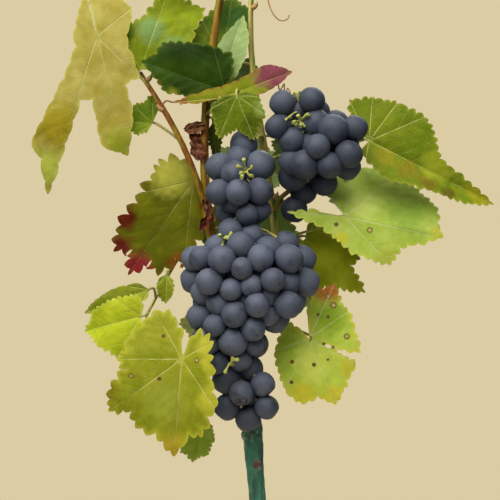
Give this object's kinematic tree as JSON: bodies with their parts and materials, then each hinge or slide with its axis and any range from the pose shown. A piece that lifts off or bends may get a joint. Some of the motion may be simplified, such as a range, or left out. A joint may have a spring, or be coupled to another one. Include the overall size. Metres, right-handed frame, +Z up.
{
  "type": "grapevine",
  "caption": "Young grafted grapevine in fruit: wax-coated stem, brown and green canes, lobed leaves turning gold and crimson, and a hanging bunch of dark blue grapes with a side wing.",
  "frame": {"origin": "middle of the flat cut under the stem, at ground level", "axes": "+Z up along the stem, +X to the right seen from the front, front towards -Y where the bunch hangs"},
  "size_m": [0.2806, 0.1087, 0.4445],
  "materials": {
    "stem_wax": "satin",
    "cane_bark": "matte",
    "cane_green": "satin",
    "grape_skin": "matte bloom",
    "leaf_green": "satin",
    "leaf_pale": "matte",
    "leaf_lime": "satin",
    "leaf_dark": "satin",
    "leaf_olive": "satin",
    "leaf_gold": "satin",
    "leaf_hazy": "matte",
    "leaf_autumn": "satin"
  },
  "bodies": {
    "root": {"trunk": "stem_wax", "cane_main": "cane_bark", "cane_left": "cane_bark", "cane_green": "cane_green", "side_shoot": "cane_green", "bunch_stalk": "cane_green", "wing_stalk": "cane_bark", "bunch_body": "grape_skin", "bunch_shoulder": "grape_skin", "bunch_wing": "grape_skin", "leaf_top_left": "leaf_hazy", "leaf_crumpled": "leaf_lime", "leaf_little": "leaf_green", "leaf_dark": "leaf_dark", "leaf_mauve_tip": "leaf_green", "leaf_folded": "leaf_pale", "leaf_behind_cane": "leaf_green", "leaf_hanging": "leaf_green", "leaf_sliver": "leaf_dark", "leaf_crimson": "leaf_autumn", "leaf_drooping": "leaf_lime", "leaf_edgewise": "leaf_lime", "leaf_lime": "leaf_lime", "leaf_front": "leaf_gold", "leaf_low": "leaf_dark", "leaf_gold_fold": "leaf_green", "leaf_pale": "leaf_pale", "leaf_olive": "leaf_olive", "leaf_spotted": "leaf_pale", "leaf_top_a": "leaf_green", "leaf_top_b": "leaf_green", "leaf_top_c": "leaf_lime", "leaf_top_d": "leaf_green", "leaf_back_upper": "leaf_green", "leaf_back_wing": "leaf_green", "leaf_back_shoulder": "leaf_green", "leaf_back_right": "leaf_green", "leaf_back_left": "leaf_green", "leaf_back_middle": "leaf_olive", "leaf_back_low": "leaf_gold"}
  },
  "joints": []
}
